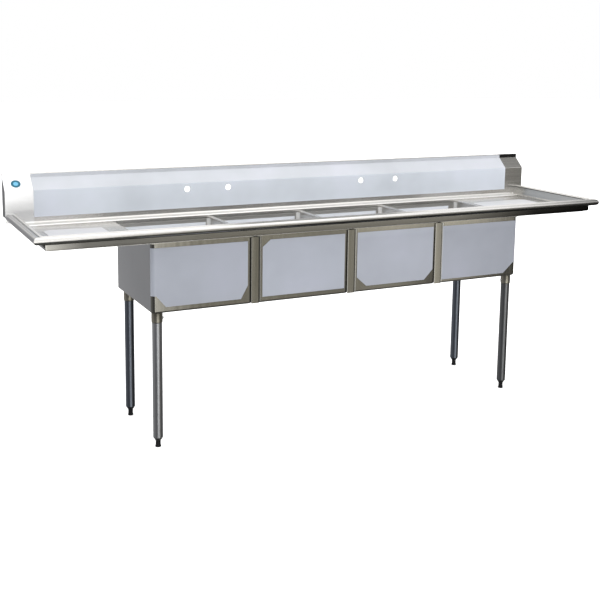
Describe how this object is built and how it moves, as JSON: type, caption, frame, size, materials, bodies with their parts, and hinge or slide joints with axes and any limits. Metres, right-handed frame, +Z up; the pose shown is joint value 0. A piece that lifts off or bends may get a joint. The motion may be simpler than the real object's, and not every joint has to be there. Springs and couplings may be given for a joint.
{
  "type": "restaurant sink",
  "caption": "Stainless steel restaurant sink with deep bowls side by side, drainboards at both ends, a backsplash with faucet holes, tube legs and protective film.",
  "frame": {"origin": "on the floor under the middle of the overall box", "axes": "+X along the length towards the sink's right end seen from the front, -Y towards the user, +Z up"},
  "size_m": [2.766, 0.67, 1.096],
  "materials": {
    "sheet_steel": "brushed",
    "bowl_steel": "brushed",
    "tube_steel": "satin",
    "drain_steel": "polished",
    "nut_brass": "machined",
    "gasket_rubber": "matte",
    "foot_plastic": "matte",
    "blue_film": "matte"
  },
  "bodies": {
    "frame": {"rim_front": "sheet_steel", "rim_left": "sheet_steel", "rim_right": "sheet_steel", "drainboard_left": "sheet_steel", "drainboard_right": "sheet_steel", "backsplash": "sheet_steel", "splash_end_cap_left": "sheet_steel", "splash_end_cap_right": "sheet_steel", "divider_1": "sheet_steel", "divider_2": "sheet_steel", "divider_3": "sheet_steel", "apron_front": "sheet_steel", "apron_left": "sheet_steel", "apron_right": "sheet_steel", "bowl_1": "bowl_steel", "bowl_2": "bowl_steel", "bowl_3": "bowl_steel", "bowl_4": "bowl_steel", "seam_strip_1": "bowl_steel", "seam_strip_2": "bowl_steel", "seam_strip_3": "bowl_steel", "leg_front_left": "tube_steel", "leg_socket_front_left": "tube_steel", "set_screw_front_left": "drain_steel", "leg_front_right": "tube_steel", "leg_socket_front_right": "tube_steel", "set_screw_front_right": "drain_steel", "leg_back_left": "tube_steel", "leg_socket_back_left": "tube_steel", "set_screw_back_left": "drain_steel", "leg_back_right": "tube_steel", "leg_socket_back_right": "tube_steel", "set_screw_back_right": "drain_steel", "drain_body_1": "drain_steel", "drain_gasket_1": "gasket_rubber", "drain_locknut_1": "nut_brass", "film_bowl_1": "blue_film", "drain_body_2": "drain_steel", "drain_gasket_2": "gasket_rubber", "drain_locknut_2": "nut_brass", "film_bowl_2": "blue_film", "drain_body_3": "drain_steel", "drain_gasket_3": "gasket_rubber", "drain_locknut_3": "nut_brass", "film_bowl_3": "blue_film", "drain_body_4": "drain_steel", "drain_gasket_4": "gasket_rubber", "drain_locknut_4": "nut_brass", "film_bowl_4": "blue_film", "film_splash": "blue_film", "film_drainboard_left": "blue_film", "film_drainboard_right": "blue_film"},
    "foot_front_left": {"foot_front_left": "foot_plastic"},
    "foot_front_right": {"foot_front_right": "foot_plastic"},
    "foot_back_left": {"foot_back_left": "foot_plastic"},
    "foot_back_right": {"foot_back_right": "foot_plastic"},
    "basket_1": {"strainer_basket_1": "drain_steel"},
    "basket_2": {"strainer_basket_2": "drain_steel"},
    "basket_3": {"strainer_basket_3": "drain_steel"},
    "basket_4": {"strainer_basket_4": "drain_steel"}
  },
  "joints": [
    {"name": "foot_front_left_height", "type": "slide", "parent": "frame", "child": "foot_front_left", "axis": [0, 0, -1], "range_m": [0, 0.025]},
    {"name": "foot_front_right_height", "type": "slide", "parent": "frame", "child": "foot_front_right", "axis": [0, 0, -1], "range_m": [0, 0.025]},
    {"name": "foot_back_left_height", "type": "slide", "parent": "frame", "child": "foot_back_left", "axis": [0, 0, -1], "range_m": [0, 0.025]},
    {"name": "foot_back_right_height", "type": "slide", "parent": "frame", "child": "foot_back_right", "axis": [0, 0, -1], "range_m": [0, 0.025]},
    {"name": "basket_1_lift", "type": "slide", "parent": "frame", "child": "basket_1", "axis": [0, 0, 1], "range_m": [0, 0.4]},
    {"name": "basket_2_lift", "type": "slide", "parent": "frame", "child": "basket_2", "axis": [0, 0, 1], "range_m": [0, 0.4]},
    {"name": "basket_3_lift", "type": "slide", "parent": "frame", "child": "basket_3", "axis": [0, 0, 1], "range_m": [0, 0.4]},
    {"name": "basket_4_lift", "type": "slide", "parent": "frame", "child": "basket_4", "axis": [0, 0, 1], "range_m": [0, 0.4]}
  ]
}
